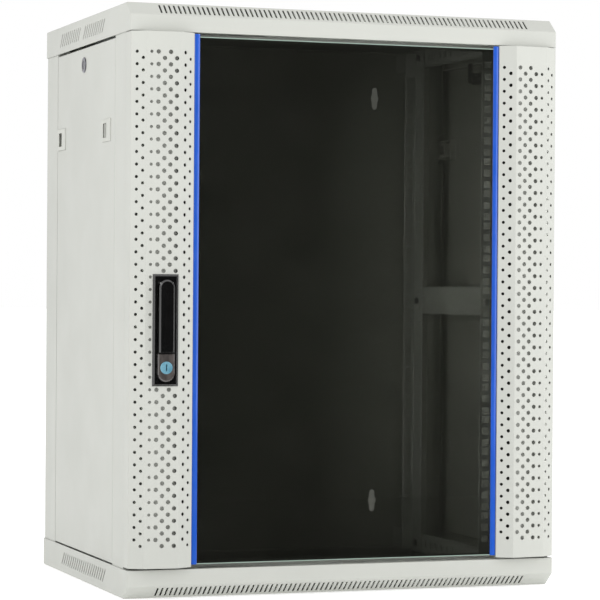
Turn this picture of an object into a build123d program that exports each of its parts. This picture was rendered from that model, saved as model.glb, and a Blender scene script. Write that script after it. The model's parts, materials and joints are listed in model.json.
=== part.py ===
"""Wall-mounted network cabinet, 19 inch, 15 units, with a glass door and removable side panels.

Frame: +Z up, the door faces -Y, +X to the right of someone facing the door.
The origin is at the centre of the base. Every depth below is measured back from the covers' front faces.
"""

from build123d import *
import os
from math import hypot

# Driving dimensions, in millimetres
WIDTH, DEPTH, HEIGHT = 600.0, 450.0, 770.0
UNITS, UNIT, UNIT_EDGE = 15, 44.45, 6.35
LEVER_REACH = 24.231         # the lever's furthest edge, in front of the covers
FRONT = (LEVER_REACH - DEPTH) / 2
SHEET = 1.2

# Covers
COVER = 38.0
SLOPE_DEPTH, SLOPE_HEIGHT = 20.4, 16.9
LIP_BACK, LIP_THICK = 24.0, 4.2  # the lip inside the front wall, thicker where it takes the hinge pins
FRONT_SLOTS, FRONT_SLOT_PITCH, FRONT_SLOT_SIZE = 80, 6.515, (18.7, 2.5)
SIDE_SLOT_PITCH, SIDE_SLOT_Z, SIDE_SLOT_SIZE, SLOT_LEAN = 11.0, 20.0, (23.4, 3.0), 40.0
BOTTOM_SLOTS = [(223.5, 21)]         # each group's middle depth and number of slots
TOP_SLOTS = [(184.5, 10), (311.5, 10)]
ENTRY_HALF, ENTRY_FRONT, ENTRY_BACK = 140.0, 336.0, 416.0
ENTRY_LAP = 10.0
FAN_X, FAN_DEPTH, FAN_RADIUS = 120.0, 190.0, 56.0
FAN_SLOT_PITCH, FAN_SLOT_WIDTH = 8.5, 4.0
FAN_HOLE_PITCH, FAN_HOLE_RADIUS = 105.0, 2.2
SCREW_SPOTS = [(x, depth) for x in (-256.0, 256.0) for depth in (66.0, 406.0)]
BOSS_RADIUS, BOSS_BORE = 5.0, 2.55

# Body
SIDE = 298.5                 # half the width over posts and side panels
BODY_FRONT, BODY_BACK = 25.0, 447.0
PANEL_FRONT, PANEL_BACK = 77.0, 387.0
REST = 288.0                 # half the distance between the flanges that the side panels rest on
PANEL_LOW, PANEL_HIGH = 39.2, 729.2
BAR_FACE = 242.5             # half the distance between the depth bars' webs
BAR_TOP, BAR_LOW = 757.0, 728.0
MID_BAR = (366.0, 406.0)
BAR_FLANGE, BAR_START, BAR_END = 268.0, 27.6, 445.0
CORNER_GAP = 4.0             # the posts stop this far inside the covers
M4_HOLE, M4_THREAD = 2.1, 2.0
FRAME_SCREW_X, FRAME_SCREW_HEIGHTS = 289.0, (25.0, HEIGHT - 25.0)
PANEL_SCREW_X, PANEL_SCREW_HEIGHTS = 284.0, (60.0, 277.0, 493.0, 710.0)
REAR_ENTRIES, REAR_ENTRY_HALF, REAR_ENTRY_SCREW_X = (109.0, 663.5), (150.0, 20.0), 162.0
WALL_SLOT_X, WALL_SLOT_HEIGHTS = 208.5, (81.5, 690.0)
WALL_SLOT_LENGTH, WALL_SLOT_WIDTH, WALL_SLOT_MIDDLE = 33.0, 8.7, 6.6
EARTH_DEPTH, EARTH_Z = 140.0, 28.0

# Equipment rails
RAIL_HOLE_X, RAIL_HOLE, RAIL_SHEET = 232.55, 9.5, 1.5
RAIL_IN, RAIL_OUT = 224.0, 242.4
RAIL_FRONT, RAIL_REAR, RAIL_WEB = 77.0, 363.0, 33.0
RAIL_FOOT = (HEIGHT - UNITS * UNIT) / 2
BOLT_HEIGHTS = (26.0, 385.0, 744.0)
BOLT_SETBACK = 13.0
BOLT_DEPTHS = (RAIL_FRONT + BOLT_SETBACK, RAIL_REAR - BOLT_SETBACK)
BOLT_HOLE, BOLT_SHANK, BOLT_HEAD = 3.3, 3.0, 5.25
RAIL_ENDS = (16.0, HEIGHT - 18.0)
DASH_SETBACK = 23.0          # the upright slots in a rail's side, behind its face

# Door
DOOR_LOW, DOOR_HIGH = 41.0, 731.0
DOOR_MIDDLE = (DOOR_LOW + DOOR_HIGH) / 2
WING = [(214.8, -0.1), (214.8, -2.5), (235.5, -13.0), (281.0, -10.0), (299.0, 0.0), (299.0, 23.0)]
CHANNEL = [(210.0, 5.1), (238.0, 5.1), (238.0, 12.0), (277.0, 12.0), (277.0, -8.2)]
HOLE_ROWS, ROW_PITCH, TOP_ROW = 40, 16.06, 704.5
HOLE_COLUMNS = [              # distance from the middle, radius, half a row lower or not
    (292.0, 2.0, 0), (284.9, 2.0, 1), (274.3, 2.0, 0), (265.4, 2.8, 0), (257.1, 2.8, 1),
    (249.2, 2.8, 0), (241.3, 2.8, 1), (228.7, 2.3, 0), (220.8, 2.0, 1),
]
GLASS_HALF, GLASS_THICK, GLASS_LOW, GLASS_HIGH = 235.0, 5.0, 44.0, 727.0
STRIP_IN, STRIP_OUT, STRIP_HIGH = 206.8, 214.6, 730.0
STRIP_SHOULDER, STRIP_CROWN = 0.6, 2.0
HINGE_X, HINGE_DEPTH, PIN_RADIUS = 295.0, 18.0, 2.5
SPRING_X = 287.0
RUNNING = 0.05               # radial clearance of a pin that turns

# Handle, on the left wing's broad facet; its own plane has x across, y up and z out of the facet
HANDLE_X, HANDLE_Z = -254.4, 347.2
PLATE_WIDTH, PLATE_HEIGHT, PLATE_THICK = 33.9, 144.0, 3.0
LEVER_WIDTH, LEVER_LOW, LEVER_HIGH = 20.5, -28.3, 64.8
BOSS_WIDTH, BOSS_LOW, BOSS_HIGH, BOSS_OVER = 22.0, -65.8, -30.1, 8.6
LEVER_UNDER, LEVER_OVER = 4.6, 12.0
SWIVEL_Y, TILT_Y, TILT_Z = 52.0, 60.0, 7.0
LOCK_Y, LOCK_RADIUS = -48.0, 8.0
HEAD_RADIUS, SHAFT_RADIUS, THREAD_RADIUS, LEVER_PIN_RADIUS = 8.0, 6.0, 4.0, 1.5
CAM_Z, CAM_THICK, CAM_REACH = -42.0, 3.0, 38.0

# Side panel fittings; a latch has its front and back depth, its bolt's tip, and the way the bolt retracts
LATCH_LOW, LATCH_HIGH, LATCH_TRAVEL = 595.0, 625.0, 6.0
LATCHES = {"front": (98.5, 141.5, 89.6, 1), "rear": (339.5, 382.5, 374.4, -1)}
LATCH_RISE, LATCH_SKIN, LATCH_WALL = 1.2, 1.0, 1.4
FINGER_HOLE, FINGER_HOLE_SETBACK = 17.0, 6.9
SIDE_LOCK_DEPTH, SIDE_LOCK_Z, SIDE_LOCK_RADIUS = 238.6, 706.0, 10.7
BARREL_RADIUS, PLUG_RADIUS = 8.0, 6.0
SIDE_CAM_X, SIDE_CAM_HALF, SIDE_CAM_REACH = (274.5, 277.5), 6.0, 23.0


def at(depth):
    """The y coordinate at a depth behind the covers' front faces."""
    return FRONT + depth


def block(x, depth, z):
    """A box between two x values, two depths and two heights."""
    low, high = (x[0], at(depth[0]), z[0]), (x[1], at(depth[1]), z[1])
    size = [b - a for a, b in zip(low, high)]
    return Pos(*[(a + b) / 2 for a, b in zip(low, high)]) * Box(*size)


def rod(radius, start, end):
    """A round bar between two points."""
    run = Vector(*end) - Vector(*start)
    return extrude(Plane(start, z_dir=run) * Circle(radius), run.length)


def moved_aside(points, distance):
    """An open line moved to its left, with mitred corners."""
    line = [complex(*p) for p in points]
    runs = [(b - a) / abs(b - a) for a, b in zip(line, line[1:])]
    moved = []
    for p, a, b in zip(line, [runs[0]] + runs, runs + [runs[-1]]):
        moved.append(p + 1j * (a + b) * distance / (1 + (a * b.conjugate()).real))
    return [(p.real, p.imag) for p in moved]


def prism(outline, plane, start, end):
    """A closed outline in a plane, drawn out along the plane's normal."""
    return extrude(plane.offset(start) * make_face(Polyline(*outline, close=True)), end - start)


def folded(points, plane, start, end, thickness=SHEET):
    """Sheet metal folded along a line, with its thickness to the line's left."""
    return prism(points + moved_aside(points, thickness)[::-1], plane, start, end)


def plan(points):
    """Section points given as (x, depth), as (x, y)."""
    return [(x, at(depth)) for x, depth in points]


def solids(*shapes):
    """Several separate pieces as one group."""
    return Compound([s for shape in shapes for s in shape.solids()])


def flip(shape):
    """The same shape on the left."""
    return mirror(shape, about=Plane.YZ)


def upside_down(shape):
    """The same shape at the top of the cabinet instead of the bottom."""
    return mirror(shape, about=Plane.XY.offset(HEIGHT / 2))


def both_sides(name, right):
    """A right-hand piece and its mirror image."""
    return {f"{name}_right": right, f"{name}_left": flip(right)}


# ---------------------------------------------------------------- covers

def slope_slots():
    """Cutters for the narrow ventilation slots across a cover's sloped front edge."""
    plane = Plane(
        origin=(0, at(SLOPE_DEPTH / 2), SLOPE_HEIGHT / 2),
        x_dir=(1, 0, 0),
        z_dir=(0, -SLOPE_HEIGHT, -SLOPE_DEPTH),
    )
    slot = SlotOverall(*FRONT_SLOT_SIZE, rotation=90)
    row = [plane * spot * slot for spot in GridLocations(FRONT_SLOT_PITCH, 1, FRONT_SLOTS, 1)]
    return [extrude(s, 4, both=True) for s in row]


def side_slots(middle, count, lean):
    """Cutters for one group of slots that lean from upright, through both side walls of a cover."""
    cutters = []
    for i in range(count):
        depth = middle + (i - (count - 1) / 2) * SIDE_SLOT_PITCH
        slot = Plane.YZ * Pos(at(depth), SIDE_SLOT_Z) * SlotOverall(*SIDE_SLOT_SIZE, rotation=90 + lean)
        cutters.append(extrude(slot, WIDTH, both=True))
    return cutters


def fan_cutters(x):
    """Cutters for one fan position: a round field of straight slots and four screw holes."""
    centre = Pos(x, at(FAN_DEPTH))
    cutters = []
    for i in range(-6, 7):
        across = FAN_SLOT_PITCH * i
        chord = 2 * (FAN_RADIUS**2 - across**2) ** 0.5
        slot = Pos(0, across) * SlotOverall(chord, FAN_SLOT_WIDTH)
        cutters.append(extrude(centre * slot, 3, both=True))
    for spot in GridLocations(FAN_HOLE_PITCH, FAN_HOLE_PITCH, 2, 2):
        cutters.append(extrude(centre * spot * Circle(FAN_HOLE_RADIUS), 3, both=True))
    return cutters


def pan():
    """A cover's sheet: a shallow pan with a sloped front edge and a hinge lip inside its front wall."""
    back = FRONT + DEPTH
    line = [(FRONT, COVER), (FRONT, SLOPE_HEIGHT), (at(SLOPE_DEPTH), 0), (back, 0), (back, COVER)]
    outer = prism(line, Plane.YZ, -WIDTH / 2, WIDTH / 2)
    outer = fillet(outer.edges().filter_by(lambda e: e.center().Z < COVER - 0.1), 2.0)
    open_line = [(FRONT, COVER + 1)] + line[1:-1] + [(back, COVER + 1)]
    hollow = prism(moved_aside(open_line, SHEET), Plane.YZ, SHEET - WIDTH / 2, WIDTH / 2 - SHEET)
    hollow = fillet(hollow.edges().filter_by(lambda e: e.center().Z < COVER + 0.9), 0.8)
    wall = WIDTH / 2 - SHEET / 2
    shell = outer - hollow + block((-wall, wall), (SHEET / 2, LIP_BACK), (COVER - SHEET, COVER))
    for side in (-1, 1):
        x = sorted((side * 284.0, side * wall))
        pin = (side * HINGE_X, at(HINGE_DEPTH))
        shell += block(x, (8.0, LIP_BACK), (COVER - LIP_THICK, COVER - SHEET))
        shell -= rod(PIN_RADIUS + RUNNING, (*pin, COVER - 6), (*pin, COVER + 1))
    return shell


def cover(slot_groups, lean, fans):
    """A whole bottom cover: its pan, ventilation, cable entry and four fixing bosses."""
    cutters = slope_slots() + [block((-ENTRY_HALF, ENTRY_HALF), (ENTRY_FRONT, ENTRY_BACK), (-1, 2))]
    for middle, count in slot_groups:
        cutters += side_slots(middle, count, lean)
    for x in fans:
        cutters += fan_cutters(x)
    shell = pan() - cutters
    for x, depth in SCREW_SPOTS:
        shell += rod(BOSS_RADIUS, (x, at(depth), SHEET / 2), (x, at(depth), HEIGHT - BAR_TOP - 0.2))
        shell -= rod(BOSS_BORE, (x, at(depth), 2.2), (x, at(depth), 20.0))
    return shell


def entry_plate():
    """The plate that closes a cover's cable entry from inside, pressed out to lie flush in the middle."""
    half = ENTRY_HALF + ENTRY_LAP
    plate = block((-half, half), (ENTRY_FRONT - ENTRY_LAP, ENTRY_BACK + ENTRY_LAP), (SHEET, 2 * SHEET))
    grip = block((-40, 40), (ENTRY_FRONT + 30, ENTRY_BACK - 30), (0.3, SHEET))
    return plate + fillet(grip.edges().filter_by(Axis.Z), 8)


def cover_screws():
    """Four screws up through the bars' flanges into the bottom cover's bosses."""
    head = HEIGHT - BAR_TOP + SHEET
    made = []
    for x, depth in SCREW_SPOTS:
        y = at(depth)
        made.append(rod(2.5, (x, y, 4.0), (x, y, head)) + rod(4.75, (x, y, head), (x, y, head + 3.3)))
    return solids(*made)


def covers():
    return {
        "bottom_cover": cover(BOTTOM_SLOTS, SLOT_LEAN, []),
        "top_cover": upside_down(cover(TOP_SLOTS, -SLOT_LEAN, [-FAN_X, FAN_X])),
        "bottom_cable_plate": entry_plate(),
        "top_cable_plate": upside_down(entry_plate()),
        "cover_screws": solids(cover_screws(), upside_down(cover_screws())),
    }


# ---------------------------------------------------------------- body

def front_post():
    """Right front corner post, with windows for the door's cam and the panel latch."""
    line = [(280.0, BODY_FRONT), (SIDE, BODY_FRONT), (SIDE, PANEL_FRONT), (REST, PANEL_FRONT), (REST, 95.0)]
    post = folded(plan(line), Plane.XY, CORNER_GAP, HEIGHT - CORNER_GAP)
    cam_height = HANDLE_Z + SWIVEL_Y
    post -= block((279, 293.5), (24, 28), (cam_height - 36, cam_height + 36))
    post -= block((286, 289), (82, 96), (LATCH_LOW - 6, LATCH_HIGH + 6))
    for z in FRAME_SCREW_HEIGHTS:
        post -= rod(M4_HOLE, (FRAME_SCREW_X, at(20), z), (FRAME_SCREW_X, at(30), z))
    return post


def rear_post():
    """Right rear corner post, with a row of small holes in its rear face."""
    line = [(REST, 369.0), (REST, PANEL_BACK), (SIDE, PANEL_BACK), (SIDE, BODY_BACK), (262.0, BODY_BACK)]
    post = folded(plan(line), Plane.XY, CORNER_GAP, HEIGHT - CORNER_GAP)
    post -= block((286, 289), (368, 383.5), (LATCH_LOW - 6, LATCH_HIGH + 6))
    drills = [rod(2.0, (270, at(440), z), (270, at(450), z)) for z in range(60, 720, 25)]
    x = PANEL_SCREW_X
    drills += [rod(M4_HOLE, (x, at(440), z), (x, at(450), z)) for z in PANEL_SCREW_HEIGHTS]
    return post - drills


def crossbar():
    """Bottom front crossbar: an angle behind the posts' lips."""
    low = HEIGHT - BAR_TOP
    line = [(at(26.2), 45.0), (at(26.2), low - SHEET), (at(52.0), low - SHEET)]
    bar = folded(line, Plane.YZ, -297.2, 297.2)
    z = FRAME_SCREW_HEIGHTS[0]
    for x in (-FRAME_SCREW_X, FRAME_SCREW_X):
        bar -= rod(M4_HOLE, (x, at(20), z), (x, at(30), z))
    return bar


def frame_screws():
    """Screws that hold the front crossbars to the posts."""
    made = []
    for x in (-FRAME_SCREW_X, FRAME_SCREW_X):
        for z in FRAME_SCREW_HEIGHTS:
            head = rod(3.8, (x, at(BODY_FRONT - 1.8), z), (x, at(BODY_FRONT), z))
            made.append(head + rod(M4_THREAD, (x, at(BODY_FRONT), z), (x, at(BODY_FRONT + 9), z)))
    return solids(*made)


def keyhole(x, z):
    """Cutter for a wall-hanging slot with a round middle for the screw's head."""
    outline = SlotOverall(WALL_SLOT_LENGTH, WALL_SLOT_WIDTH, rotation=90) + Circle(WALL_SLOT_MIDDLE)
    slot = Plane.XZ * Pos(x, z) * outline
    return extrude(slot.moved(Location((0, at(BODY_BACK), 0))), 6, both=True)


def rear_panel():
    """Rear sheet with wall slots, two cable entries and folded top and bottom edges."""
    low, high = HEIGHT - BAR_TOP - SHEET, BAR_TOP + SHEET
    panel = block((-298, 298), (BODY_BACK, BODY_BACK + SHEET), (low, high))
    panel += block((-260, 260), (420.0, BODY_BACK + 0.6), (low, low + SHEET))
    panel += block((-260, 260), (420.0, BODY_BACK + 0.6), (high - SHEET, high))
    cutters = [keyhole(x, z) for x in (-WALL_SLOT_X, WALL_SLOT_X) for z in WALL_SLOT_HEIGHTS]
    half, rise = REAR_ENTRY_HALF
    for z in REAR_ENTRIES:
        cutters.append(block((-half, half), (440, 452), (z - rise, z + rise)))
    spots = [(x, z) for x in (-REAR_ENTRY_SCREW_X, REAR_ENTRY_SCREW_X) for z in REAR_ENTRIES]
    spots += [(x, z) for x in (-PANEL_SCREW_X, PANEL_SCREW_X) for z in PANEL_SCREW_HEIGHTS]
    return panel - cutters - [rod(M4_HOLE, (x, at(440), z), (x, at(452), z)) for x, z in spots]


def rear_entry_plate(z):
    """Plate over one of the rear panel's cable entries."""
    plate = block((-170, 170), (BODY_BACK - SHEET, BODY_BACK), (z - 25, z + 25))
    plate = fillet(plate.edges().filter_by(Axis.Y), 4)
    for x in (-REAR_ENTRY_SCREW_X, REAR_ENTRY_SCREW_X):
        plate -= rod(M4_HOLE, (x, at(440), z), (x, at(450), z))
    return plate


def rear_entry_screws():
    made = []
    for z in REAR_ENTRIES:
        for x in (-REAR_ENTRY_SCREW_X, REAR_ENTRY_SCREW_X):
            inside = BODY_BACK - SHEET
            head = rod(3.6, (x, at(inside - 2.2), z), (x, at(inside), z))
            made.append(head + rod(M4_THREAD, (x, at(inside), z), (x, at(DEPTH - 0.5), z)))
    return solids(*made)


def rear_panel_screws():
    made = []
    for x in (-PANEL_SCREW_X, PANEL_SCREW_X):
        for z in PANEL_SCREW_HEIGHTS:
            outside = BODY_BACK + SHEET
            head = rod(4.0, (x, at(outside), z), (x, at(DEPTH - 0.1), z))
            made.append(head + rod(M4_THREAD, (x, at(440), z), (x, at(outside), z)))
    return solids(*made)


def bolt_holes(depths, heights=BOLT_HEIGHTS):
    """Cutters along X for the bolts that hold the rails."""
    return [rod(BOLT_HOLE, (235, at(d), z), (260, at(d), z)) for d in depths for z in heights]


def depth_bar():
    """Right bottom depth bar: an angle with a row of slots in its web."""
    low, high = HEIGHT - BAR_TOP, HEIGHT - BAR_LOW
    line = [(BAR_FACE, high), (BAR_FACE, low), (BAR_FLANGE, low)]
    bar = folded(line, Plane.XZ, -at(BAR_END), -at(BAR_START))
    slots = [block((240, 246), (106 + 20.5 * i, 112 + 20.5 * i), (23.0, 32.0)) for i in range(12)]
    cutters = slots + bolt_holes(BOLT_DEPTHS, BOLT_HEIGHTS[:1])
    for x, depth in SCREW_SPOTS:
        if x > 0:
            cutters.append(rod(2.7, (x, at(depth), 5), (x, at(depth), 20)))
    return bar - cutters


def middle_bar():
    """Right middle bar: a channel between the front and rear rails."""
    low, high = MID_BAR
    line = [(255.0, high), (BAR_FACE, high), (BAR_FACE, low), (255.0, low)]
    bar = folded(line, Plane.XZ, -at(RAIL_REAR - 3), -at(RAIL_FRONT + 3))
    slots = [block((240, 246), (d - 2, d + 2), (380, 392)) for d in (116.0, 324.0)]
    return bar - slots - bolt_holes(BOLT_DEPTHS, BOLT_HEIGHTS[1:2])


def earth_stud():
    """Earth stud with its clamping collar, on the left bottom depth bar."""
    x, y, z = -BAR_FACE - SHEET, at(EARTH_DEPTH), EARTH_Z
    return rod(3.0, (x, y, z), (x - 26, y, z)) + rod(5.5, (x, y, z), (x - 4, y, z))


def body():
    parts = both_sides("front_post", front_post())
    parts |= both_sides("rear_post", rear_post())
    parts |= both_sides("bottom_bar", depth_bar())
    parts |= both_sides("top_bar", upside_down(depth_bar()))
    parts |= both_sides("middle_bar", middle_bar())
    parts["bottom_crossbar"] = crossbar()
    parts["top_crossbar"] = upside_down(crossbar())
    parts["frame_screws"] = frame_screws()
    parts["rear_panel"] = rear_panel()
    parts["rear_screws"] = solids(rear_panel_screws(), rear_entry_screws())
    parts["rear_cable_plates"] = solids(*[rear_entry_plate(z) for z in REAR_ENTRIES])
    parts["earth_stud"] = earth_stud()
    return parts


# ---------------------------------------------------------------- equipment rails

def rail(front):
    """Right front or right rear rail: an angle with square holes, three to a unit."""
    if front:
        line = [(RAIL_IN, RAIL_FRONT), (RAIL_OUT, RAIL_FRONT), (RAIL_OUT, RAIL_FRONT + RAIL_WEB)]
        face, bolt, dash = RAIL_FRONT, BOLT_DEPTHS[0], RAIL_FRONT + DASH_SETBACK
    else:
        line = [(RAIL_OUT, RAIL_REAR - RAIL_WEB), (RAIL_OUT, RAIL_REAR), (RAIL_IN, RAIL_REAR)]
        face, bolt, dash = RAIL_REAR - RAIL_SHEET, BOLT_DEPTHS[1], RAIL_REAR - DASH_SETBACK
    bar = folded(plan(line), Plane.XY, *RAIL_ENDS, RAIL_SHEET)
    half = RAIL_HOLE / 2
    x = (RAIL_HOLE_X - half, RAIL_HOLE_X + half)
    cutters = bolt_holes([bolt])
    for unit in range(UNITS):
        foot = RAIL_FOOT + unit * UNIT
        for z in (foot + UNIT_EDGE, foot + UNIT / 2, foot + UNIT - UNIT_EDGE):
            cutters.append(block(x, (face - 1, face + 3), (z - half, z + half)))
        for z in (foot + UNIT / 4, foot + UNIT * 3 / 4):
            cutters.append(block((238, 245), (dash - 1.5, dash + 1.5), (z - 5, z + 5)))
    return bar - cutters


def rail_bolts():
    """Button-head bolts that hold the rails to the bars, and the nuts behind them."""
    bolts, nuts = [], []
    inner = RAIL_OUT - RAIL_SHEET
    outer = BAR_FACE + SHEET
    for depth in BOLT_DEPTHS:
        for z in BOLT_HEIGHTS:
            y = at(depth)
            head = rod(BOLT_HEAD, (inner - 3.3, y, z), (inner, y, z))
            head = fillet(head.edges().sort_by(Axis.X)[0], 2.0)
            socket = Plane.YZ.offset(inner - 4) * Pos(y, z) * RegularPolygon(2.3, 6)
            bolt = head - extrude(socket, 2.5) + rod(BOLT_SHANK, (inner, y, z), (outer + 7, y, z))
            outline = RegularPolygon(5.77, 6) - Circle(BOLT_SHANK + RUNNING)
            hexagon = Plane.YZ.offset(outer) * Pos(y, z) * outline
            nut = extrude(hexagon, 5.0)
            bolts += [bolt, flip(bolt)]
            nuts += [nut, flip(nut)]
    return {"rail_bolts": solids(*bolts), "rail_nuts": solids(*nuts)}


def rails():
    parts = both_sides("front_rail", rail(True))
    parts |= both_sides("rear_rail", rail(False))
    parts |= rail_bolts()
    return parts


# ---------------------------------------------------------------- side panels

def latch_middle():
    return (LATCH_LOW + LATCH_HIGH) / 2


def side_panel():
    """Right side panel: a tray with cut-outs for two latches and a lock."""
    gap = 1.0
    depth, z = (PANEL_FRONT + gap, PANEL_BACK - gap), (PANEL_LOW, PANEL_HIGH)
    panel = block((289.0, SIDE), depth, z)
    panel = fillet(panel.faces().sort_by(Axis.X)[-1].edges(), 1.5)
    panel -= block((280.0, SIDE - 1.0), (depth[0] + 1, depth[1] - 1), (z[0] + 1, z[1] - 1))
    for front, back, *_ in LATCHES.values():
        panel -= block((289, 300), (front, back), (LATCH_LOW, LATCH_HIGH))
    lock = (at(SIDE_LOCK_DEPTH), SIDE_LOCK_Z)
    return panel - rod(BARREL_RADIUS + 0.1, (280, *lock), (300, *lock))


def finger_hole(back):
    """The span of depths of a latch housing's finger hole, near the housing's rear edge."""
    return back - FINGER_HOLE_SETBACK - FINGER_HOLE, back - FINGER_HOLE_SETBACK


def latch_housing(front, back):
    """Moulded latch housing in a side panel's cut-out: a thin raised face with walls behind it."""
    gap = 0.1
    z = latch_middle()
    face = SIDE + LATCH_RISE
    depth, height = (front + gap, back - gap), (LATCH_LOW + gap, LATCH_HIGH - gap)
    housing = block((287.5, face), depth, height)
    housing = fillet(housing.faces().sort_by(Axis.X)[-1].edges(), 0.4)
    wall = LATCH_WALL
    inside = (depth[0] + wall, depth[1] - wall), (height[0] + wall, height[1] - wall)
    housing -= block((280, face - LATCH_SKIN), *inside)
    return housing - block((290, face + 1), finger_hole(back), (z - 9.5, z + 9.5))


def latch_slider(back, tip, retract):
    """The sprung bolt of a side panel latch, with the finger wall that draws it back and a thicker tip."""
    near, far = finger_hole(back)
    finger = (near - 2.5, near) if retract < 0 else (far - 10.5, far - 6.5)
    top = SIDE - 0.1 if retract < 0 else SIDE + 0.8
    z = latch_middle()
    bolt = block((284.5, 287.2), (min(tip, *finger), max(tip, *finger)), (z - 6.7, z + 6.7))
    wall = block((284.5, top), finger, (z - 9.0, z + 9.0))
    end = block((282.0, 285.6), sorted((tip, tip + retract * 4)), (z - 8, z + 8))
    return bolt + wall + end


def side_lock():
    """Cam lock of the right side panel: its barrel, and the plug with the cam."""
    y, z = at(SIDE_LOCK_DEPTH), SIDE_LOCK_Z
    bezel = rod(SIDE_LOCK_RADIUS, (SIDE, y, z), (SIDE + 1.4, y, z))
    bezel = fillet(bezel.edges().sort_by(Axis.X)[-1], 0.8)
    barrel = bezel + rod(BARREL_RADIUS, (280, y, z), (SIDE, y, z))
    barrel -= rod(PLUG_RADIUS + RUNNING, (278, y, z), (302, y, z))
    plug = rod(PLUG_RADIUS, (277, y, z), (SIDE + 1.0, y, z))
    plug -= Pos(SIDE + 1.0, y, z) * Box(6, 1.2, 8)
    half = SIDE_CAM_HALF
    cam_depth = (SIDE_LOCK_DEPTH - half, SIDE_LOCK_DEPTH + half)
    cam_plate = block(SIDE_CAM_X, cam_depth, (z - half, z + SIDE_CAM_REACH))
    cam_plate = fillet(cam_plate.edges().filter_by(Axis.X), half - 1)
    return barrel, plug + cam_plate


def side_panels():
    parts = both_sides("side_panel", side_panel())
    housings = solids(*[latch_housing(front, back) for front, back, *_ in LATCHES.values()])
    parts |= both_sides("panel_latch_housings", housings)
    for name, (_, back, tip, retract) in LATCHES.items():
        parts |= both_sides(f"panel_latch_{name}", latch_slider(back, tip, retract))
    barrel, plug = side_lock()
    parts |= both_sides("side_lock_barrel", barrel)
    parts |= both_sides("side_lock_plug", plug)
    return parts


# ---------------------------------------------------------------- door

def facet_at(x):
    """The point of the wing's outer line at x, and the direction square out of it."""
    for (xa, a), (xb, b) in zip(WING[1:], WING[2:-1]):
        if xa <= x <= xb:
            length = hypot(xb - xa, b - a)
            depth = a + (b - a) * (x - xa) / (xb - xa)
            return Vector(x, at(depth), 0), Vector((b - a) / length, (xa - xb) / length, 0)


def punch(plain):
    """Cutters for a right wing's ventilation holes; plain is the span of heights left unpunched."""
    drills = []
    for x, radius, lower in HOLE_COLUMNS:
        spot, out = facet_at(x)
        in_plain_field = 238 < x < 270
        for row in range(HOLE_ROWS):
            z = TOP_ROW - (row + lower / 2) * ROW_PITCH
            if in_plain_field and plain[0] < z < plain[1]:
                continue
            start = spot + Vector(0, 0, z) + out * 2
            drills.append(rod(radius, start, start - out * 5))
    return drills


def wing(plain=(0, 0)):
    """Right door wing: a faceted perforated sheet, closed at its ends."""
    line = plan(WING)
    sheet = folded(line, Plane.XY, DOOR_LOW, DOOR_HIGH)
    inside = moved_aside(line, SHEET / 2)
    for z in (DOOR_LOW, DOOR_HIGH - SHEET):
        sheet += prism(inside, Plane.XY, z, z + SHEET)
    pin = (HINGE_X, at(HINGE_DEPTH))
    return sheet - punch(plain) - rod(PIN_RADIUS + RUNNING, (*pin, 30), (*pin, 740))


def wing_channel():
    """Right inner channel: it stiffens the wing and carries the glass."""
    return folded(plan(CHANNEL), Plane.XY, GLASS_LOW, GLASS_HIGH)


def edge_strip():
    """Right edge strip, in front of the glass beside the wing, with an arched face."""
    base, shoulder, crown = at(-0.05), at(-STRIP_SHOULDER), at(-STRIP_CROWN)
    corners = [(STRIP_IN, shoulder), (STRIP_IN, base), (STRIP_OUT, base), (STRIP_OUT, shoulder)]
    arch = ThreePointArc(corners[-1], ((STRIP_IN + STRIP_OUT) / 2, crown), corners[0])
    outline = make_face(Polyline(*corners) + arch)
    return extrude(Plane.XY.offset(GLASS_LOW) * outline, STRIP_HIGH - GLASS_LOW)


def turned_over(shape):
    """The same piece turned half round about the door's middle: right to left and top to bottom."""
    return Pos(0, 0, DOOR_MIDDLE) * Rot(0, 180, 0) * Pos(0, 0, -DOOR_MIDDLE) * shape


def hinge_block_bottom():
    """Block inside the right wing that holds the fixed bottom hinge pin."""
    pin = (HINGE_X, at(HINGE_DEPTH))
    return block((284.0, 297.6), (8.0, 22.8), (42.3, 70.0)) - rod(PIN_RADIUS, (*pin, 40), (*pin, 80))


def hinge_block_top():
    """Block inside the right wing for the sprung top pin, with a window for the pin's tab."""
    pin = (HINGE_X, at(HINGE_DEPTH))
    body = block((282.0, 297.6), (8.0, 22.8), (693.0, 729.6))
    body -= rod(PIN_RADIUS + RUNNING, (*pin, 690), (*pin, 735))
    body -= block((280.0, 295.0), (15.8, 20.2), (703.0, 716.0))
    spring = (SPRING_X, at(HINGE_DEPTH))
    return body - rod(3.2, (*spring, 697.0), (*spring, 716.0))


def hinge_pins():
    x, y = HINGE_X, at(HINGE_DEPTH)
    bottom = rod(PIN_RADIUS, (x, y, 34.5), (x, y, 69.5))
    washer = rod(6.0, (x - 2.5, y - 2.5, 38.1), (x - 2.5, y - 2.5, 40.9))
    washer -= rod(PIN_RADIUS + 0.1, (x, y, 38), (x, y, 41))
    top = rod(PIN_RADIUS, (x, y, 697.0), (x, y, 737.0))
    top = chamfer(top.edges().sort_by(Axis.Z)[-1], 0.8)
    top += block((279.5, x), (HINGE_DEPTH - 1.6, HINGE_DEPTH + 1.6), (712.0, 715.0))
    path = Pos(SPRING_X, y, 697.4) * Helix(pitch=2.1, height=13.8, radius=2.3)
    coil = sweep(Plane(path @ 0, z_dir=path % 0) * Circle(0.4), path, is_frenet=True)
    return {
        "hinge_pin_bottom": bottom,
        "hinge_washer": washer,
        "hinge_pin_top": top,
        "hinge_pin_spring": coil,
    }


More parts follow.
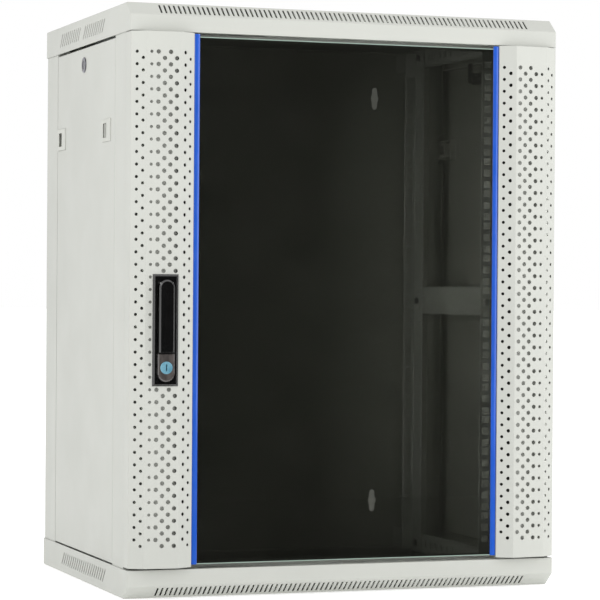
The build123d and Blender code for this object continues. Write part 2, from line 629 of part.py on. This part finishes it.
def door():
    plate = (HANDLE_Z - PLATE_HEIGHT / 2 - 4, HANDLE_Z + PLATE_HEIGHT / 2 + 4)
    left = flip(wing(plate)) - handle_bores()
    pane = block((-GLASS_HALF, GLASS_HALF), (0, GLASS_THICK), (GLASS_LOW, GLASS_HIGH))
    parts = {
        "door_wing_left": left,
        "door_wing_right": turned_over(flip(wing())),
        "door_channel_right": wing_channel(),
        "door_channel_left": flip(wing_channel()) - handle_bores(),
        "door_glass": chamfer(pane.edges().filter_by(Axis.X), 1.3),
        "edge_strip_right": edge_strip(),
        "edge_strip_left": flip(edge_strip()),
        "hinge_block_bottom": hinge_block_bottom(),
        "hinge_block_top": hinge_block_top(),
    }
    return parts | hinge_pins()


# ---------------------------------------------------------------- handle

def handle_plane():
    """The handle's own plane on the left wing's broad facet."""
    spot, out = facet_at(-HANDLE_X)
    out = Vector(-out.X, out.Y, 0)
    across = Vector(-out.Y, out.X, 0)
    return Plane(origin=(HANDLE_X, spot.Y, HANDLE_Z), x_dir=across, z_dir=out)


def on_handle(shape):
    return handle_plane() * shape


def disc(radius, y, low, high):
    """A round piece square to the handle's plane."""
    return Pos(0, y, low) * Cylinder(radius, high - low, align=(Align.CENTER, Align.CENTER, Align.MIN))


def handle_bores():
    """Cutters through the wing and its channel for the swivel and the lock."""
    return [on_handle(disc(8.5, SWIVEL_Y, -60, 2)), on_handle(disc(LOCK_RADIUS + 1.2, LOCK_Y, -20, 2))]


def handle_plate():
    """Black back plate with bevelled edges and a raised boss, round at the bottom, for the lock."""
    plate = Pos(0, 0, PLATE_THICK / 2) * Box(PLATE_WIDTH, PLATE_HEIGHT, PLATE_THICK)
    plate = chamfer(plate.faces().sort_by(Axis.Z)[-1].edges(), 2.6)
    half = BOSS_WIDTH / 2
    bottom = BOSS_LOW + half
    straight = Pos(0, (BOSS_HIGH + bottom) / 2) * Rectangle(BOSS_WIDTH, BOSS_HIGH - bottom)
    boss = extrude(Pos(0, bottom) * Circle(half) + straight, BOSS_OVER)
    plate += chamfer(boss.faces().sort_by(Axis.Z)[-1].edges(), 1.4)
    plate -= disc(HEAD_RADIUS + RUNNING, SWIVEL_Y, -1, 5)
    return plate - disc(LOCK_RADIUS + RUNNING, LOCK_Y, -1, 20)


def tilt_bore():
    """Cutter for the bore that the lever tilts about."""
    return extrude(Plane.YZ * Pos(TILT_Y, TILT_Z) * Circle(LEVER_PIN_RADIUS + RUNNING), 9.0, both=True)


def lever():
    """The lever: rounded and bevelled at the top and sides, straight at the bottom, hollow at its pivot."""
    half = LEVER_WIDTH / 2
    top = LEVER_HIGH - half
    straight = Pos(0, (top + LEVER_LOW) / 2) * Rectangle(LEVER_WIDTH, top - LEVER_LOW)
    outline = Pos(0, top) * Circle(half) + straight
    body = extrude(Pos(0, 0, LEVER_UNDER) * outline, LEVER_OVER - LEVER_UNDER)
    rim = body.faces().sort_by(Axis.Z)[-1].edges().sort_by(Axis.Y)[1:]
    body = chamfer(rim, 2.0)
    pocket = Pos(0, 53.7, (LEVER_UNDER + 10.2) / 2) * Box(8.0, 19.4, 10.2 - LEVER_UNDER + 0.01)
    return body - pocket - tilt_bore()


def swivel():
    """The turning head under the lever, with its ear and the shaft that carries the cam."""
    cam_top = CAM_Z + CAM_THICK
    head = disc(HEAD_RADIUS, SWIVEL_Y, -SHEET, 4.2)
    shaft = disc(SHAFT_RADIUS, SWIVEL_Y, cam_top, -SHEET) + disc(THREAD_RADIUS, SWIVEL_Y, CAM_Z - 8, cam_top)
    ear = Pos(0, 54.0, 6.3) * Box(7.0, 12.0, 5.4)
    ear += extrude(Plane.YZ * Pos(TILT_Y, TILT_Z) * Circle(2.4), 3.5, both=True)
    return head + shaft + ear - tilt_bore()


def cam():
    """Latch cam on the swivel's shaft, pointing towards the post."""
    arm = Pos(-CAM_REACH / 2, SWIVEL_Y) * Rectangle(CAM_REACH, 14.0) + Pos(0, SWIVEL_Y) * Circle(10.0)
    plate = extrude(Pos(0, 0, CAM_Z) * arm, CAM_THICK)
    corners = plate.edges().filter_by(Axis.Z).sort_by(Axis.X)[:2]
    return fillet(corners, 4.0) - disc(THREAD_RADIUS, SWIVEL_Y, CAM_Z - 1, CAM_Z + 5)


def cam_nut():
    hexagon = Pos(0, SWIVEL_Y, CAM_Z - 5) * (RegularPolygon(7.5, 6) - Circle(THREAD_RADIUS))
    return extrude(hexagon, 5.0)


def lock_plug():
    """Lock cylinder with its key slot."""
    plug = disc(LOCK_RADIUS, LOCK_Y, -16.0, 9.4)
    plug = chamfer(plug.edges().sort_by(Axis.Z)[-1], 0.6)
    return plug - Pos(0, LOCK_Y, 9.4) * Box(1.6, 8.5, 8.0)


def handle():
    pin = Plane.YZ * Pos(TILT_Y, TILT_Z) * Circle(LEVER_PIN_RADIUS)
    parts = {
        "handle_plate": handle_plate(),
        "handle_lever": lever(),
        "handle_swivel": swivel(),
        "lever_pin": extrude(pin, 8.8, both=True),
        "latch_cam": cam(),
        "cam_nut": cam_nut(),
        "lock_plug": lock_plug(),
    }
    return {name: on_handle(shape) for name, shape in parts.items()}


def main():
    os.makedirs("parts", exist_ok=True)
    for group in (covers(), body(), rails(), side_panels(), door(), handle()):
        for name, shape in group.items():
            export_step(shape, f"parts/{name}.step")


main()
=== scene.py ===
import json
from math import cos, sin

import bpy
from mathutils import Matrix, Vector

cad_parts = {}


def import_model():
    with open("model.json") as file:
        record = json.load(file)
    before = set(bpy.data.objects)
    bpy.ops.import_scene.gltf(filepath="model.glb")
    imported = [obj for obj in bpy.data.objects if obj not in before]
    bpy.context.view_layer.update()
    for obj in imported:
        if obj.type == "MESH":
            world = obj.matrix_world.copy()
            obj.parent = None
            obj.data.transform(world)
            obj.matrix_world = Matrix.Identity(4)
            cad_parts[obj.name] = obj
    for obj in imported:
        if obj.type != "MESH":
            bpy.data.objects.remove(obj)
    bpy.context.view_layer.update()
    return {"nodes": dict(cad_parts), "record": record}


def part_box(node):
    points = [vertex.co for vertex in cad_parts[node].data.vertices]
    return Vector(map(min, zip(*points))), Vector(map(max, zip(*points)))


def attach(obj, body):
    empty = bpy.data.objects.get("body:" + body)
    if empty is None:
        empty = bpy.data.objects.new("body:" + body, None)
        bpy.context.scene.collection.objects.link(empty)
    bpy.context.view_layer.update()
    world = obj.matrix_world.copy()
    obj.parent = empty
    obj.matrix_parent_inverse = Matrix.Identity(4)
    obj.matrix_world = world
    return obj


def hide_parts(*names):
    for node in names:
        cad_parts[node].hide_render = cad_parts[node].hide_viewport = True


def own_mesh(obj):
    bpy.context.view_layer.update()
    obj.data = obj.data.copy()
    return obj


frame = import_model()
NODES = frame["nodes"]
scene = bpy.context.scene

MM = 0.001

# ---------------------------------------------------------------- camera

COVER_LOW, COVER_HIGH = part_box("top_cover")
COVER_CENTRE = (COVER_LOW + COVER_HIGH) / 2
EYE = Vector((COVER_CENTRE.x - 1.17212, COVER_CENTRE.y - 3.34991, 0.40337))
YAW, PITCH, ROLL = 0.33988246, -0.00496974, 0.0070989
SENSOR, LENS = 36.0, 151.545
NEAREST, FARTHEST = 0.1, 200.0


def make_camera():
    """The camera at the photograph's viewing point."""
    forward = Vector((sin(YAW) * cos(PITCH), cos(YAW) * cos(PITCH), sin(PITCH)))
    level = Vector((cos(YAW), -sin(YAW), 0))
    up = level.cross(forward)
    right = level * cos(ROLL) + up * sin(ROLL)
    top = up * cos(ROLL) - level * sin(ROLL)
    data = bpy.data.cameras.new("camera")
    data.sensor_width, data.lens = SENSOR, LENS
    data.clip_start, data.clip_end = NEAREST, FARTHEST
    camera = bpy.data.objects.new("camera", data)
    turn = Matrix((right, top, -forward)).transposed().to_4x4()
    camera.matrix_world = Matrix.Translation(EYE) @ turn
    scene.collection.objects.link(camera)
    scene.camera = camera


# ---------------------------------------------------------------- materials

# the second colour of each pair is a painted highlight laid along the paint's edges
PAINT, PAINT_EDGE_HIGHLIGHT = (0.490, 0.499, 0.463), (0.70, 0.70, 0.67)
RAIL_PAINT, RAIL_EDGE_HIGHLIGHT = (0.60, 0.62, 0.60), (0.75, 0.76, 0.74)
LATCH_GREY = (0.52, 0.53, 0.485)
TRIM_BLUE = (0.010, 0.085, 0.49)
GROUND_GLASS = (0.36, 0.47, 0.41)
GLASS_TINT = (0.258, 0.262, 0.245)
GLASS_IOR = 1.45
DUST, DUST_COVER = (0.60, 0.61, 0.50), (0.007, 0.011)
# the black, then a painted highlight for its edges, then a painted reflection for the lock boss's face
BLACK, BLACK_EDGE_HIGHLIGHT, BOSS_REFLECTION = (0.002, 0.002, 0.002), (0.22, 0.21, 0.205), (0.075, 0.066, 0.062)
REFLECTION_FADE = (1.8 * MM, 3.2 * MM)   # how far behind the lock boss's face its painted reflection fades out
EDGE_TURN = (0.80, 0.99)          # cosines of a rounded edge's turn: a full edge, and none


class Nodes:
    """A material's node tree, built one node at a time."""

    def __init__(self, name):
        self.material = bpy.data.materials.new(name)
        self.material.use_nodes = True
        self.tree = self.material.node_tree
        self.tree.nodes.clear()
        self.output = self.tree.nodes.new("ShaderNodeOutputMaterial")
        self.place = self.tree.nodes.new("ShaderNodeTexCoord").outputs["Object"]

    def add(self, kind, **values):
        node = self.tree.nodes.new(kind)
        for key, value in values.items():
            setattr(node, key, value)
        return node

    def link(self, source, target):
        self.tree.links.new(source, target)

    def noise(self, scale, detail=2.0, stretch=None):
        """A noise value in object space; scale is in features per metre."""
        node = self.add("ShaderNodeTexNoise")
        node.inputs["Scale"].default_value = scale
        node.inputs["Detail"].default_value = detail
        place = self.place
        if stretch:
            mapping = self.add("ShaderNodeMapping")
            mapping.inputs["Scale"].default_value = stretch
            self.link(place, mapping.inputs["Vector"])
            place = mapping.outputs["Vector"]
        self.link(place, node.inputs["Vector"])
        return node.outputs["Fac"]

    def ramp(self, value, low, high, start=0.3, end=0.7):
        """A value spread between low and high."""
        node = self.add("ShaderNodeMapRange")
        node.inputs["From Min"].default_value = start
        node.inputs["From Max"].default_value = end
        node.inputs["To Min"].default_value = low
        node.inputs["To Max"].default_value = high
        self.link(value, node.inputs["Value"])
        return node.outputs["Result"]

    def mix(self, factor, a, b):
        """A colour between a and b; each is a colour or a socket."""
        node = self.add("ShaderNodeMix", data_type="RGBA")
        self.link(factor, node.inputs["Factor"])
        for socket, colour in ((node.inputs[6], a), (node.inputs[7], b)):
            if isinstance(colour, tuple):
                socket.default_value = (*colour, 1)
            else:
                self.link(colour, socket)
        return node.outputs[2]

    def mix_shader(self, factor, a, b):
        """A shader between a and b."""
        node = self.add("ShaderNodeMixShader")
        self.link(factor, node.inputs["Fac"])
        self.link(a, node.inputs[1])
        self.link(b, node.inputs[2])
        return node.outputs["Shader"]

    def edge_mask(self, radius):
        """1 on sharp edges and 0 on flats, and the normal with the edges rounded."""
        bevel = self.add("ShaderNodeBevel", samples=4)
        bevel.inputs["Radius"].default_value = radius
        flat = self.add("ShaderNodeNewGeometry").outputs["Normal"]
        dot = self.add("ShaderNodeVectorMath", operation="DOT_PRODUCT")
        self.link(bevel.outputs["Normal"], dot.inputs[0])
        self.link(flat, dot.inputs[1])
        return self.ramp(dot.outputs["Value"], 1.0, 0.0, *EDGE_TURN), bevel.outputs["Normal"]

    def bump(self, height, distance, normal=None):
        """A normal roughened by a height value, over the given distance."""
        node = self.add("ShaderNodeBump")
        node.inputs["Distance"].default_value = distance
        self.link(height, node.inputs["Height"])
        if normal is not None:
            self.link(normal, node.inputs["Normal"])
        return node.outputs["Normal"]

    def product(self, a, b):
        """The product of two values."""
        node = self.add("ShaderNodeMath", operation="MULTIPLY")
        self.link(a, node.inputs[0])
        self.link(b, node.inputs[1])
        return node.outputs["Value"]

    def principled(self, colour, roughness, normal=None, **values):
        """Ends the tree in a Principled shader and returns the material."""
        node = self.add("ShaderNodeBsdfPrincipled")
        for name, value in values.items():
            node.inputs[name.replace("_", " ")].default_value = value
        self.link(colour, node.inputs["Base Color"])
        self.link(roughness, node.inputs["Roughness"])
        if normal is not None:
            self.link(normal, node.inputs["Normal"])
        self.link(node.outputs["BSDF"], self.output.inputs["Surface"])
        return self.material


def powder_coat(name, colour, edge_highlight, grain=1500.0, rough=(0.42, 0.56)):
    """Powder-coated sheet steel: fine orange peel, faint clouds of tone and a painted highlight, in
    patches, along the edges.
    """
    n = Nodes(name)
    edge, rounded = n.edge_mask(1.2 * MM)
    cloud = n.ramp(n.noise(5.0, 3.0), 0.0, 1.0)
    deep = tuple(c * 0.955 for c in colour)
    tone = n.mix(cloud, deep, colour)
    speck = n.ramp(n.noise(2600.0, 1.0), 0.0, 0.06, 0.55, 0.75)
    tone = n.mix(speck, tone, tuple(c * 0.6 for c in colour))
    # painted highlight: the edges are mixed towards the lighter colour, broken into patches by noise
    highlight_break = n.ramp(n.noise(120.0, 4.0), 0.0, 0.45, 0.35, 0.7)
    tone = n.mix(n.product(edge, highlight_break), tone, edge_highlight)
    smear = n.ramp(n.noise(14.0, 4.0), rough[0], rough[1])
    normal = n.bump(n.noise(grain, 2.0), 0.035 * MM, rounded)
    return n.principled(tone, smear, normal, Specular_IOR_Level=0.42)


def moulded(name, colour, grain=1100.0, rough=(0.38, 0.5), depth=0.02 * MM, edge_shine=0.3, **values):
    """Moulded plastic with a fine spark-eroded texture and a painted highlight that makes the edges a
    little lighter.
    """
    n = Nodes(name)
    edge, rounded = n.edge_mask(0.5 * MM)
    cloud = n.ramp(n.noise(30.0, 3.0), 0.0, 1.0)
    tone = n.mix(cloud, tuple(c * 0.9 for c in colour), colour)
    # painted highlight: the edges are mixed towards a lighter tone
    amount = n.ramp(edge, 0.0, edge_shine, 0.0, 1.0)
    tone = n.mix(amount, tone, tuple(c + (1 - c) * 0.22 for c in colour))
    smear = n.ramp(n.noise(60.0, 4.0), rough[0], rough[1])
    normal = n.bump(n.noise(grain, 2.0), depth, rounded)
    return n.principled(tone, smear, normal, **values)


def plated(name, colour, dull, rough=(0.16, 0.32), stretch=(1.0, 1.0, 12.0), grain=700.0, **values):
    """Plated or brushed metal: drawn grain, duller patches and a painted highlight that brightens the
    edges.
    """
    n = Nodes(name)
    edge, rounded = n.edge_mask(0.25 * MM)
    patch = n.ramp(n.noise(90.0, 4.0), 0.0, 1.0, 0.35, 0.65)
    tone = n.mix(patch, dull, colour)
    # painted highlight: the edges are mixed towards a brighter colour
    tone = n.mix(edge, tone, tuple(min(1.0, c * 1.15) for c in colour))
    smear = n.ramp(n.noise(grain, 3.0, stretch), rough[0], rough[1])
    normal = n.bump(n.noise(grain, 3.0, stretch), 0.006 * MM, rounded)
    return n.principled(tone, smear, normal, **{"Metallic": 1.0, **values})


def handle_black(name, reflecting_face=None):
    """Glossy black plastic with a painted highlight on its edges; near the given front face, a painted
    reflection broken into scratch-like streaks.
    """
    n = Nodes(name)
    edge, rounded = n.edge_mask(0.45 * MM)
    cloud = n.ramp(n.noise(30.0, 3.0), 0.0, 1.0)
    tone = n.mix(cloud, BLACK, tuple(2 * c for c in BLACK))
    if reflecting_face is not None:
        across = n.add("ShaderNodeSeparateXYZ")
        n.link(n.place, across.inputs["Vector"])
        start, end = (reflecting_face + fade for fade in REFLECTION_FADE)
        near = n.ramp(across.outputs["Y"], 1.0, 0.0, start, end)
        reflection_streaks = n.ramp(n.noise(220.0, 4.0, (1.0, 1.0, 0.35)), 0.55, 1.0, 0.35, 0.65)
        # painted reflection on the lock boss's face, broken into scratch-like streaks
        tone = n.mix(n.product(near, reflection_streaks), tone, BOSS_REFLECTION)
    # painted highlight: the edges are mixed towards a lighter grey
    tone = n.mix(n.ramp(edge, 0.0, 0.6, 0.0, 1.0), tone, BLACK_EDGE_HIGHLIGHT)
    smear = n.ramp(n.noise(60.0, 4.0), 0.08, 0.15)
    normal = n.bump(n.noise(1400.0, 2.0), 0.003 * MM, rounded)
    return n.principled(tone, smear, normal, Specular_IOR_Level=0.8, Coat_Weight=0.6, Coat_Roughness=0.06)


def tinted_glass():
    """Dark tinted safety glass that lets a little grey light through, with a film of dust and smears."""
    n = Nodes("tinted_glass")
    through = n.add("ShaderNodeBsdfTransparent")
    haze = n.ramp(n.noise(9.0, 5.0), 0.0, 1.0, 0.4, 0.75)
    tint = n.mix(haze, GLASS_TINT, tuple(c * 0.94 for c in GLASS_TINT))
    n.link(tint, through.inputs["Color"])
    gloss = n.add("ShaderNodeBsdfGlossy")
    smear = n.ramp(n.noise(22.0, 5.0), 0.015, 0.07, 0.35, 0.75)
    n.link(smear, gloss.inputs["Roughness"])
    gloss.inputs["Color"].default_value = (0.95, 0.97, 0.96, 1)
    fresnel = n.add("ShaderNodeFresnel")
    fresnel.inputs["IOR"].default_value = GLASS_IOR
    dust = n.add("ShaderNodeBsdfDiffuse")
    dust.inputs["Color"].default_value = (*DUST, 1)
    film = n.ramp(n.noise(16.0, 5.0), *DUST_COVER)
    dusty = n.mix_shader(film, through.outputs["BSDF"], dust.outputs["BSDF"])
    both = n.mix_shader(fresnel.outputs["Fac"], dusty, gloss.outputs["BSDF"])
    n.link(both, n.output.inputs["Surface"])
    return n.material


def make_materials():
    """Every material, by the name of the slot or node that it is for."""
    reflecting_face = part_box("handle_plate")[0].y
    return {
        "painted_steel": powder_coat("painted_steel", PAINT, PAINT_EDGE_HIGHLIGHT),
        "rail_steel": powder_coat("rail_steel", RAIL_PAINT, RAIL_EDGE_HIGHLIGHT),
        "tinted_glass": tinted_glass(),
        "ground_edge": moulded("ground_edge", GROUND_GLASS, 900.0, (0.3, 0.42), 0.02 * MM, 0.0),
        "edge_trim": moulded("edge_trim", TRIM_BLUE, 300.0, (0.16, 0.26), 0.01 * MM, 0.4,
                             Coat_Weight=0.5, Coat_Roughness=0.12),
        "handle_black": handle_black("handle_black"),
        "plate_black": handle_black("plate_black", reflecting_face),
        "lock_metal": plated("lock_metal", (0.22, 0.22, 0.25), (0.03, 0.03, 0.035), (0.10, 0.22)),
        "lock_blue": plated("lock_blue", (0.20, 0.42, 0.52), (0.10, 0.28, 0.38), (0.20, 0.34),
                            Metallic=0.25),
        "zinc_steel": plated("zinc_steel", (0.68, 0.68, 0.66), (0.52, 0.53, 0.54), (0.28, 0.46)),
        "black_screws": moulded("black_screws", (0.028, 0.028, 0.032), 900.0, (0.35, 0.5),
                                0.015 * MM, 0.5),
        "latch_plastic": moulded("latch_plastic", LATCH_GREY, 1000.0, (0.40, 0.52)),
        "hinge_plastic": moulded("hinge_plastic", (0.03, 0.03, 0.033), 900.0, (0.40, 0.55)),
    }


OWN_MATERIAL = {"lock_plug": "lock_blue", "handle_plate": "plate_black"}


def paint_nodes(materials):
    """Gives each CAD node its own material in place of the record's flat one."""
    for part in frame["record"]["subparts"]:
        chosen = OWN_MATERIAL.get(part["node"], part["material_slot"])
        for slot in NODES[part["node"]].material_slots:
            slot.material = materials[chosen]


# ---------------------------------------------------------------- pieces

UNITS, UNIT = 15, 44.45 * MM
HOLE_EDGE = 237.6 * MM       # the outer edge of the rail's square holes
MARK_MARGIN = 0.4 * MM       # between the marks and the rail's bend
MARK_LIFT = 0.04 * MM
MARK_LINE = 0.35 * MM
DIGIT_HEIGHT = 3.4 * MM
GLASS_SLOPE, GLASS_LIFT = 1.3 * MM, 0.05 * MM


def rail_marks(side, material):
    """Printed unit lines and numbers on the face of one front rail."""
    low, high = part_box(f"front_rail_{side}")
    sign = 1 if side == "right" else -1
    bend = max(abs(low.x), abs(high.x)) - MARK_MARGIN
    y = low.y - MARK_LIFT
    foot = (COVER_HIGH.z - UNITS * UNIT) / 2
    verts, faces = [], []
    for line in range(UNITS + 1):
        z = foot + line * UNIT
        corners = [(HOLE_EDGE, z - MARK_LINE / 2), (bend, z - MARK_LINE / 2),
                   (bend, z + MARK_LINE / 2), (HOLE_EDGE, z + MARK_LINE / 2)]
        faces.append([len(verts) + i for i in range(4)][::sign])
        verts += [(sign * x, y, height) for x, height in corners]
    for unit in range(UNITS):
        text = bpy.data.curves.new("digits", "FONT")
        text.body, text.size = str(unit + 1), DIGIT_HEIGHT
        text.align_x = text.align_y = "CENTER"
        holder = bpy.data.objects.new("digits", text)
        flat = bpy.data.meshes.new_from_object(holder)
        middle = sign * (HOLE_EDGE + bend) / 2
        z = foot + (unit + 0.5) * UNIT
        start = len(verts)
        verts += [(middle + v.co.x, y, z + v.co.y) for v in flat.vertices]
        faces += [[start + i for i in face.vertices] for face in flat.polygons]
        bpy.data.objects.remove(holder)
        bpy.data.meshes.remove(flat)
        bpy.data.curves.remove(text)
    mesh = bpy.data.meshes.new(f"rail_marks_{side}")
    mesh.from_pydata(verts, [], faces)
    mesh.materials.append(material)
    marks = bpy.data.objects.new(f"rail_marks_{side}", mesh)
    scene.collection.objects.link(marks)
    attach(marks, "cabinet")


def pin_spring():
    """The hinge pin's spring, as its own copy of the CAD mesh, carried by the door."""
    spring = bpy.data.objects.new("pin_spring", NODES["hinge_pin_spring"].data.copy())
    scene.collection.objects.link(spring)
    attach(spring, "door")
    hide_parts("hinge_pin_spring")
    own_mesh(spring)


def glass_edges(material):
    """The ground, milky edges along the top and bottom of the glass."""
    low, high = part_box("door_glass")
    slope, lift = GLASS_SLOPE, GLASS_LIFT
    verts, faces = [], []
    for end, out in ((high.z, 1), (low.z, -1)):
        section = [(low.y - lift, end - out * slope), (low.y + slope, end + out * lift),
                   (high.y - slope, end + out * lift), (high.y + lift, end - out * slope)]
        start = len(verts)
        for x in (low.x + lift, high.x - lift):
            verts += [(x, y, z) for y, z in section]
        for i in range(3):
            faces.append([start + i, start + i + 1, start + i + 5, start + i + 4][::-out])
    mesh = bpy.data.meshes.new("glass_edges")
    mesh.from_pydata(verts, [], faces)
    mesh.materials.append(material)
    edges = bpy.data.objects.new("glass_edges", mesh)
    scene.collection.objects.link(edges)
    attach(edges, "door")


# ---------------------------------------------------------------- studio

MIDDLE = Vector((0, 0, COVER_HIGH.z / 2))
FLOOR_HALF, FLOOR_DROP = 40.0, 0.2 * MM
WIDE = 3.14                  # the beam angle of a light that isn't narrowed
STRIP_SIZE = (0.02, 0.62)    # the slim lights inside the cabinet
BEHIND_GLASS = 14 * MM
CHANNEL_POCKET = (238 * MM, 277 * MM)    # the deep part of a wing's inner channel, from the middle
POCKET_SHOWN = 258 * MM      # how far out the camera sees into the right one
WING_HOLLOW = 7.88 * MM      # from a wing's foremost point into the hollow behind its sheet
CARD_LEFT, CARD_RIGHT, CARD_TOP = -1.2, 5.0, 3.0
CARD_NEAR, CARD_FAR, CARD_LIFT = -0.30, -1.6, 0.3 * MM


def floor(material):
    """A wide pale floor."""
    mesh = bpy.data.meshes.new("floor")
    half = FLOOR_HALF
    corners = [(-half, -half, 0), (half, -half, 0), (half, half, 0), (-half, half, 0)]
    mesh.from_pydata(corners, [], [(0, 1, 2, 3)])
    mesh.materials.append(material)
    ground = bpy.data.objects.new("floor", mesh)
    ground.location.z = -FLOOR_DROP
    scene.collection.objects.link(ground)


def floor_material():
    """Pale, matt and faintly glowing, as a floor lit from all round."""
    n = Nodes("floor")
    tone = n.mix(n.noise(1.5, 3.0), (0.90, 0.90, 0.90), (0.93, 0.93, 0.93))
    rough = n.ramp(n.noise(6.0, 3.0), 0.75, 0.9)
    return n.principled(tone, rough, Specular_IOR_Level=0.1,
                        Emission_Color=(1, 1, 1, 1), Emission_Strength=0.3)


def softbox(name, place, target, size, watts, hidden=False, spread=WIDE):
    """A rectangular area light, aimed at a point; a hidden one shows in no reflection either."""
    data = bpy.data.lights.new(name, "AREA")
    data.shape = "RECTANGLE"
    data.size, data.size_y = size
    data.energy = watts
    data.spread = spread
    light = bpy.data.objects.new(name, data)
    light.location = place
    light.rotation_mode = "QUATERNION"
    light.rotation_quaternion = (Vector(target) - Vector(place)).to_track_quat("-Z", "Y")
    light.visible_camera = False
    light.visible_glossy = not hidden
    light.visible_transmission = not hidden
    scene.collection.objects.link(light)


def world():
    """Even white studio surroundings."""
    surroundings = bpy.data.worlds.new("studio")
    surroundings.use_nodes = True
    tree = surroundings.node_tree
    background = tree.nodes["Background"]
    background.inputs["Color"].default_value = (1, 1, 1, 1)
    background.inputs["Strength"].default_value = 1.0
    scene.world = surroundings


def studio_lights():
    """A key light on the left, a fill on the right and a soft one in front."""
    softbox("key", (-1.30, -1.05, 1.05), MIDDLE - Vector((0.2, 0.2, 0)), (1.4, 1.3), 6.5)
    softbox("front", (0.90, -2.40, 1.00), MIDDLE, (1.6, 1.6), 7.5)
    softbox("fill", (1.30, -1.10, 0.75), MIDDLE + Vector((0.2, -0.2, 0)), (0.8, 1.3), 7.5)


def inside_lights():
    """Slim lights behind the glass that bring out the right side, the rails and the wings' channels."""
    low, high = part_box("door_glass")
    y = high.y + BEHIND_GLASS
    start = Vector((low.x + 30 * MM, y, MIDDLE.z))
    softbox("inside", start, start + Vector((0.95, 0.30, 0)), STRIP_SIZE, 1.0, hidden=True, spread=1.25)
    for name, watts in (("rear_rail_right", 0.09), ("front_rail_right", 0.11)):
        low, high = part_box(name)
        face = Vector(((low.x + high.x) / 2, low.y, MIDDLE.z))
        softbox(name, Vector((0.12, y, MIDDLE.z)), face, STRIP_SIZE, watts, hidden=True, spread=0.7)
    deep, far = CHANNEL_POCKET
    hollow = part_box("door_wing_left")[0].y + WING_HOLLOW
    for name, (left, right) in (("wing_left", (-far, -deep)), ("wing_right", (deep, POCKET_SHOWN))):
        place = Vector(((left + right) / 2, hollow, MIDDLE.z))
        size = (right - left, 0.66)
        softbox(name, place, place + Vector((0, 1, 0)), size, 0.03, hidden=True)


def card(name, corners, material):
    """A dark card that only reflections see, as photographers use around glass."""
    mesh = bpy.data.meshes.new(name)
    mesh.from_pydata(corners, [], [(0, 1, 2, 3)])
    mesh.materials.append(material)
    board = bpy.data.objects.new(name, mesh)
    board.visible_camera = board.visible_diffuse = False
    board.visible_transmission = board.visible_shadow = False
    scene.collection.objects.link(board)


def cards():
    """One card stands in front of the glass and one lies before it."""
    material = moulded("card", (0.01, 0.01, 0.01), Specular_IOR_Level=0.0)
    ends = (CARD_LEFT, CARD_RIGHT)
    foot = [(x, CARD_FAR, 0) for x in ends]
    head = [(x, CARD_FAR, CARD_TOP) for x in reversed(ends)]
    card("standing_card", foot + head, material)
    far_edge = [(x, CARD_FAR, CARD_LIFT) for x in ends]
    near_edge = [(x, CARD_NEAR, CARD_LIFT) for x in reversed(ends)]
    card("lying_card", far_edge + near_edge, material)


scene.view_settings.view_transform = "Standard"
make_camera()
materials = make_materials()
paint_nodes(materials)
for side in ("right", "left"):
    rail_marks(side, materials["black_screws"])
pin_spring()
glass_edges(materials["ground_edge"])
floor(floor_material())
cards()
world()
studio_lights()
inside_lights()
